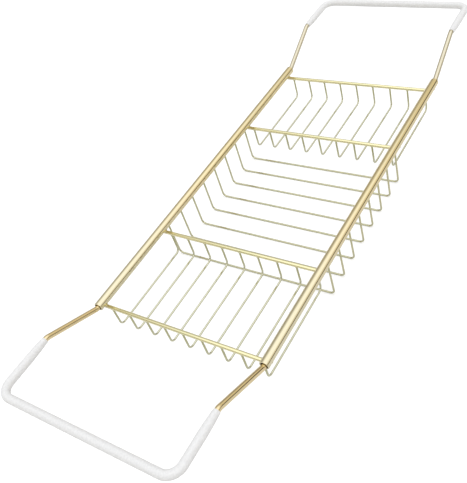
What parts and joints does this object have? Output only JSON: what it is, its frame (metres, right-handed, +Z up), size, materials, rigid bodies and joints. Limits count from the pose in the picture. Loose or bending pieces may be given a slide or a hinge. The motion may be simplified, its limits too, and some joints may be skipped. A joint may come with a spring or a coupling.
{
  "type": "bath caddy",
  "caption": "Wire bath caddy that lies across a tub: a deep middle basket between shallow end trays, hung from tubular rails, with soft-sleeved end handles that slide out to fit.",
  "frame": {"origin": "middle of the footprint, on the surface that the basket's wires stand on, with both handles pushed in", "axes": "+X along the caddy from the near handle to the far one, +Y to the left rail, +Z up"},
  "size_m": [0.6654, 0.1994, 0.0797],
  "materials": {
    "rail_gold": "polished champagne-gold plating on steel tube",
    "wire_gold": "bright pale-gold plating on steel wire",
    "rod_gold": "bright rose-gold plating on steel rod",
    "sleeve_white": "soft white satin sleeve",
    "glide_nylon": "plain off-white nylon"
  },
  "bodies": {
    "frame": {"left_rail": "rail_gold", "right_rail": "rail_gold", "near_outer_crossbar": "wire_gold", "near_inner_crossbar": "wire_gold", "far_inner_crossbar": "wire_gold", "far_outer_crossbar": "wire_gold", "basket_wire_1": "wire_gold", "basket_wire_2": "wire_gold", "basket_wire_3": "wire_gold", "basket_wire_4": "wire_gold", "basket_wire_5": "wire_gold", "basket_wire_6": "wire_gold", "basket_wire_7": "wire_gold", "basket_wire_8": "wire_gold", "near_tray_wire_1": "wire_gold", "near_tray_wire_2": "wire_gold", "near_tray_wire_3": "wire_gold", "near_tray_wire_4": "wire_gold", "near_tray_wire_5": "wire_gold", "near_tray_wire_6": "wire_gold", "near_tray_wire_7": "wire_gold", "near_tray_wire_8": "wire_gold", "near_tray_wire_9": "wire_gold", "far_tray_wire_1": "wire_gold", "far_tray_wire_2": "wire_gold", "far_tray_wire_3": "wire_gold", "far_tray_wire_4": "wire_gold", "far_tray_wire_5": "wire_gold", "far_tray_wire_6": "wire_gold", "far_tray_wire_7": "wire_gold", "far_tray_wire_8": "wire_gold", "far_tray_wire_9": "wire_gold"},
    "near_handle": {"near_handle_rod": "rod_gold", "near_handle_sleeve": "sleeve_white", "near_handle_left_glide": "glide_nylon", "near_handle_right_glide": "glide_nylon"},
    "far_handle": {"far_handle_rod": "rod_gold", "far_handle_sleeve": "sleeve_white", "far_handle_left_glide": "glide_nylon", "far_handle_right_glide": "glide_nylon"}
  },
  "joints": [
    {"name": "near_handle_slide", "type": "slide", "parent": "frame", "child": "near_handle", "axis": [-1, 0, 0], "range_m": [0, 0.13]},
    {"name": "far_handle_slide", "type": "slide", "parent": "frame", "child": "far_handle", "axis": [1, 0, 0], "range_m": [0, 0.13]}
  ]
}
